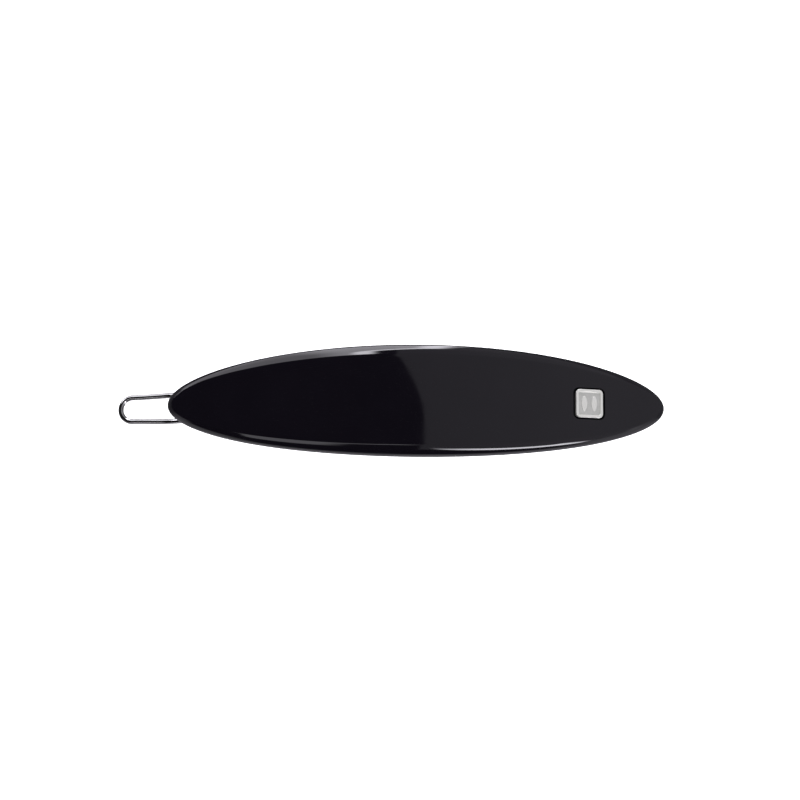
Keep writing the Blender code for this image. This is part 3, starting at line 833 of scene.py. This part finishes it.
def studio_world():
    """The studio all round: a dim screen over one side, darkness on the other, bright panels low down."""
    world = bpy.data.worlds.new("studio")
    bpy.context.scene.world = world
    world.use_nodes = True
    nodes = Nodes(world.node_tree)
    world.node_tree.nodes.clear()
    direction = nodes.add("ShaderNodeTexCoord").outputs["Generated"]
    x, y, z = nodes.add("ShaderNodeSeparateXYZ", {"Vector": direction}).outputs
    degrees = 180.0 / math.pi
    height = nodes.times(nodes.math("ARCSINE", z), degrees)
    # Compass turns from +Y and from -Y, both towards +X.
    front = nodes.times(nodes.math("ARCTAN2", x, y), degrees)
    back = nodes.times(nodes.math("ARCTAN2", x, nodes.times(y, -1.0)), degrees)
    up = nodes.math("MAXIMUM", z, 0.04)
    along = nodes.math("DIVIDE", x, up)
    over = nodes.math("DIVIDE", y, up)

    # The overhead screen's edge curves away to -X at its +Y end.
    past = nodes.math("MAXIMUM", nodes.math("SUBTRACT", over, 0.08), 0.0)
    curve = nodes.times(nodes.times(past, past), 3.45)
    beyond = nodes.math("ADD", along, nodes.math("MINIMUM", curve, 0.1))
    screen = nodes.remap(beyond, 0.129, 0.141, smooth=True)
    screen = nodes.times(screen, nodes.remap(beyond, 0.13, 0.9, 0.37, 0.49))
    # A bright batten on the -Y side, high near the middle and lower towards +X, with a dark gap beneath it.
    batten_height = nodes.remap(back, 14.0, 36.0, 46.5, 14.5)
    drop = nodes.math("SUBTRACT", height, batten_height)
    gap = nodes.times(window(nodes, back, -90.0, 35.0, 2.0), window(nodes, drop, -60.0, -2.0, 1.5))
    screen = nodes.times(screen, nodes.math("SUBTRACT", 1.0, gap))
    depth = nodes.remap(back, 14.0, 22.0, 2.5, 9.0)
    batten = nodes.times(window(nodes, back, 14.0, 39.0, 2.0), window(nodes, drop, -4.5, depth, 1.5))
    batten = nodes.times(batten, nodes.remap(back, 12.0, 24.0, 5.0, 15.0))
    # A dim shelf above it, which falls away towards -X.
    lean = nodes.math("POWER", nodes.math("MULTIPLY", along, -1.0, clamp=True), 0.75)
    fallen = nodes.math("ADD", over, nodes.times(lean, 0.95))
    shelf = nodes.times(window(nodes, fallen, -0.5, -0.2, 0.05), window(nodes, along, -1.1, 0.1, 0.06))
    # The tall panel on the +Y side. Its +X edge leans out at the foot, with the brightest strip along it.
    edge = nodes.remap(height, 34.0, 20.0, -3.6, 9.5)
    tall = window(nodes, height, -12.0, 45.0, 2.5)
    panel = nodes.times(window(nodes, front, -44.0, edge, 1.5), tall)
    middle = nodes.times(panel, nodes.remap(front, -18.0, -9.0, 0.0, 3.0, smooth=True))
    strip = window(nodes, front, nodes.math("SUBTRACT", edge, 5.0), nodes.math("SUBTRACT", edge, 0.5), 1.5)
    strip = nodes.times(nodes.times(strip, tall), nodes.remap(front, 7.0, 13.0, 8.0, 0.0))
    # A small bright patch beyond the panel's other edge.
    glint = nodes.times(window(nodes, front, -62.0, -46.0, 2.0), window(nodes, height, 9.0, 26.0, 1.5))
    # Low down the table's own light comes back, most of it from -Y.
    foot = window(nodes, height, -66.0, 4.0, 4.0)
    near = window(nodes, back, -60.0, 60.0, 12.0)
    lows = nodes.times(foot, nodes.remap(near, 0.0, 1.0, 0.02, 0.62))
    deep = nodes.remap(height, -4.0, 0.0, 0.16, 0.0, smooth=True)
    lows = nodes.math("ADD", lows, deep)
    light = nodes.times(screen, nodes.remap(height, -6.0, 2.0, smooth=True))
    light = nodes.math("ADD", light, 0.01)
    for part in (batten, middle, strip, lows):
        light = nodes.math("ADD", light, part)
    for part, radiance in ((shelf, 1.7), (panel, 1.9), (glint, 7.0)):
        light = nodes.math("ADD", light, nodes.times(part, radiance))
    seen = nodes.add("ShaderNodeLightPath").outputs["Is Camera Ray"]
    studio = nodes.add("ShaderNodeBackground", {"Color": (0.97, 0.95, 1.02, 1.0), "Strength": light})
    white = nodes.add("ShaderNodeBackground", {"Color": (1.0, 1.0, 1.0, 1.0), "Strength": 1.0})
    mixed = nodes.add("ShaderNodeMixShader", {0: seen, 1: studio.outputs[0], 2: white.outputs[0]})
    out = nodes.add("ShaderNodeOutputWorld")
    world.node_tree.links.new(mixed.outputs[0], out.inputs["Surface"])


def light_table():
    """A pale table lit from within, far enough below the barrette for the open wire to hang clear of it."""
    nodes, shader, made = new_material("light_table")
    link = made.node_tree.links.new
    grain = nodes.noise(nodes.place(), 60.0, 3.0)
    link(nodes.mix(grain, (0.88, 0.88, 0.88, 1.0), (0.92, 0.92, 0.92, 1.0)), shader.inputs["Base Color"])
    shader.inputs["Roughness"].default_value = 0.9
    shader.inputs["Specular IOR Level"].default_value = 0.0
    shader.inputs["Emission Color"].default_value = (1.0, 1.0, 1.0, 1.0)
    shader.inputs["Emission Strength"].default_value = 0.9
    bm = bmesh.new()
    half = 3.0
    bm.faces.new([bm.verts.new((x * half, y * half, 0.0)) for x, y in ((-1, -1), (1, -1), (1, 1), (-1, 1))])
    mesh = bpy.data.meshes.new("table")
    bm.to_mesh(mesh)
    bm.free()
    table = object_of("table", mesh, Matrix.Translation((0.0, 0.0, CAD_BOX[0].z - TABLE_DROP)), [made])
    table.visible_glossy = False


def overhead_lamp():
    """A large soft lamp straight above, which lights the table but isn't mirrored in the gloss."""
    data = bpy.data.lights.new("overhead", "AREA")
    data.shape = "DISK"
    data.size = 1.2
    data.energy = 14.0
    lamp = bpy.data.objects.new("overhead", data)
    bpy.context.scene.collection.objects.link(lamp)
    lamp.location = (0.0, 0.0, 1.4)
    lamp.visible_glossy = False
    lamp.visible_camera = False


def make_camera():
    """A long lens straight above, tilted a little towards -Y."""
    data = bpy.data.cameras.new("camera")
    data.lens = CAMERA_LENS
    data.clip_start = 0.05
    data.clip_end = 20.0
    camera = bpy.data.objects.new("camera", data)
    bpy.context.scene.collection.objects.link(camera)
    tilt = math.radians(CAMERA_TILT)
    camera.location = CAMERA_TARGET + CAMERA_DISTANCE * Vector((0.0, -math.sin(tilt), math.cos(tilt)))
    turn = Matrix.Rotation(tilt, 3, "X") @ Matrix.Rotation(math.radians(CAMERA_ROLL), 3, "Z")
    camera.rotation_euler = turn.to_euler()
    bpy.context.scene.camera = camera


# ---------------------------------------------------------------- putting it together

def stand_for(piece, node, body=CLIP):
    """Puts a fine piece on its body, in place of the frame's plain node."""
    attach(piece, body)
    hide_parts(node)


def main():
    bpy.context.scene.view_settings.view_transform = "Standard"
    make_camera()
    studio_world()
    light_table()
    overhead_lamp()
    rim = metal(
        "bright_silver_rim", (0.72, 0.72, 0.68, 1.0), (0.80, 0.80, 0.76, 1.0), 0.26, 0.36,
        lift=0.02, metallic=0.6,
    )
    field = metal(
        "satin_silver_field", (0.50, 0.505, 0.475, 1.0), (0.66, 0.665, 0.63, 1.0), 0.34, 0.50,
        grain=14000.0, lift=0.3, metallic=0.7,
    )
    nickel = metal(
        "nickel_plate", (0.60, 0.58, 0.54, 1.0), (0.70, 0.68, 0.64, 1.0), 0.14, 0.26,
        grain=5000.0, stretch=(1.0, 6.0, 1.0),
    )
    stand_for(make_lens(acetate(), recess_shade()), "acetate_body")
    stand_for(make_plaque(rim, field), "plaque")
    stand_for(make_bracket(nickel), "hinge_bracket")
    stand_for(make_stud_plate(nickel), "stud_plate")
    stand_for(make_ball_stud(nickel), "ball_stud")
    for name, place, x in (
        ("hinge_rivet_inner", HINGE_SEAT, -RIVET_OFFSET),
        ("hinge_rivet_outer", HINGE_SEAT, RIVET_OFFSET),
        ("stud_rivet_inner", STUD_SEAT, RIVET_OFFSET),
        ("stud_rivet_outer", STUD_SEAT, -RIVET_OFFSET),
    ):
        stand_for(make_rivet(name + "_turning", place, x, nickel), name)
    stand_for(make_wire(drawn_wire()), "wire_loop", WIRE)


main()
